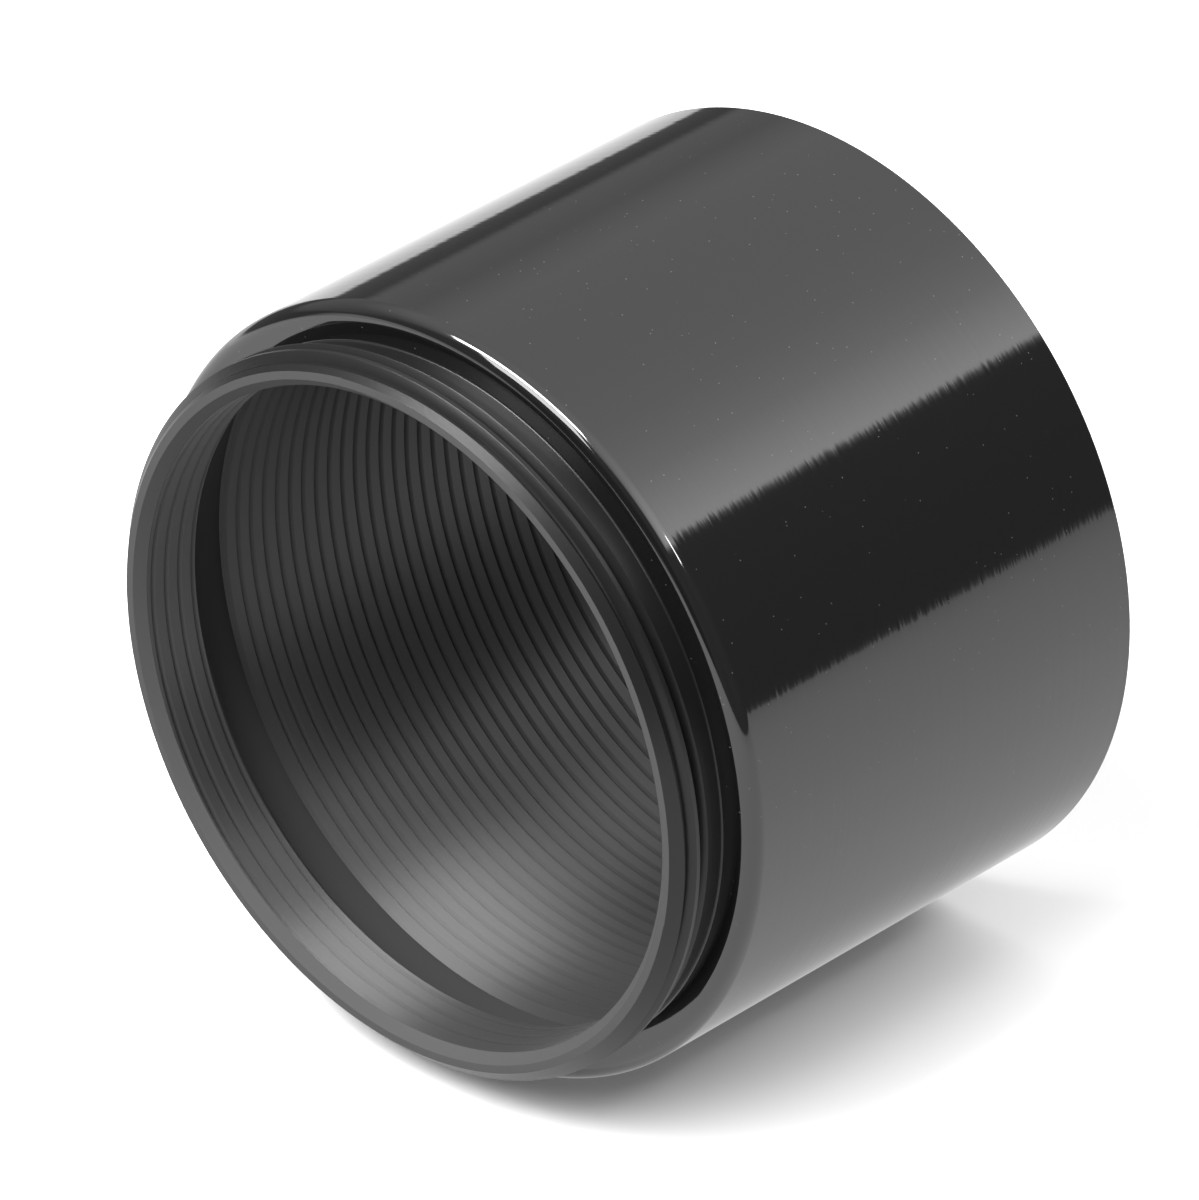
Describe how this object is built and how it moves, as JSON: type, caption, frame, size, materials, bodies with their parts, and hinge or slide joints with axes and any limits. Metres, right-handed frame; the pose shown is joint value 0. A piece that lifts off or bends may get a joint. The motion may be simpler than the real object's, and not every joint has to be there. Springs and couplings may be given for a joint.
{
  "type": "lens tube",
  "caption": "Short black tube that spaces a lens from a camera: gloss lacquered body, threaded front collar, and a bore grooved to stop stray light.",
  "frame": {"origin": "centre of the tube's rear end, on the plane it stands on", "axes": "+Z along the tube's axis, from the rear end to the threaded front collar"},
  "size_m": [0.0446, 0.0446, 0.0334],
  "materials": {
    "black_lacquer": "gloss black lacquer on the body and shoulder, matte black on the collar and in the bore"
  },
  "bodies": {
    "root": {"lens_tube": "black_lacquer"}
  },
  "joints": []
}
